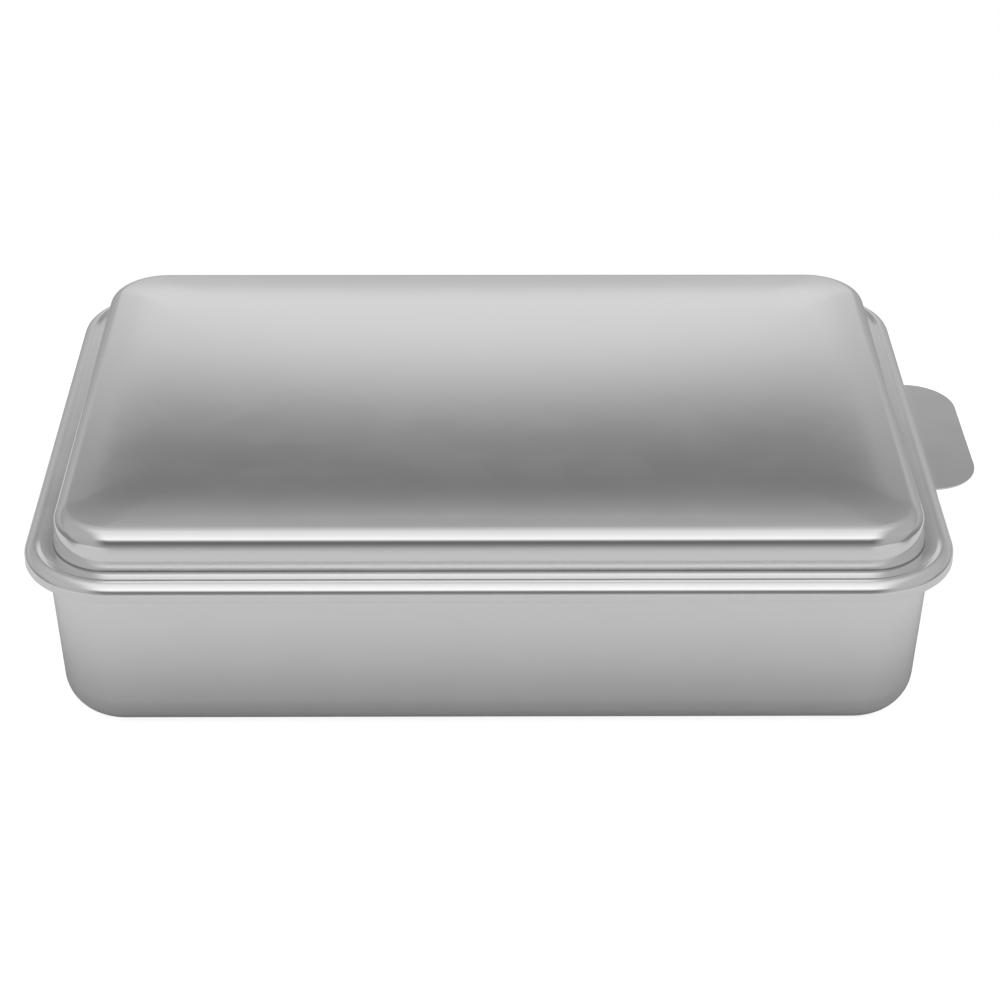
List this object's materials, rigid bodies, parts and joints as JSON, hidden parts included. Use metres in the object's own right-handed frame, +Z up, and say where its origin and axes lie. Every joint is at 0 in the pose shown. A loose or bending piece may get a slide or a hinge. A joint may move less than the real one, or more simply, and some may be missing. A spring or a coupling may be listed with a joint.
{
  "type": "covered cake pan",
  "caption": "Rectangular stainless steel cake pan with rounded corners, a rolled rim, and a crowned lid that drops over the rim and lifts off by a side tab.",
  "frame": {"origin": "centre of the pan's flat underside, on the surface that it stands on", "axes": "+X along the length, towards the end with the lifting tab; +Y across the width, away from the viewer of the picture; +Z up, the way the lid lifts"},
  "size_m": [0.3732, 0.2518, 0.0917],
  "materials": {
    "pan_steel": "satin stainless sheet, drawn, lightly brushed",
    "lid_steel": "polished stainless sheet with soft reflections"
  },
  "bodies": {
    "pan": {"pan": "pan_steel"},
    "lid": {"lid": "lid_steel"}
  },
  "joints": [
    {"name": "lid_lift", "type": "slide", "parent": "pan", "child": "lid", "axis": [0, 0, 1], "range_m": [0, 0.12]}
  ]
}
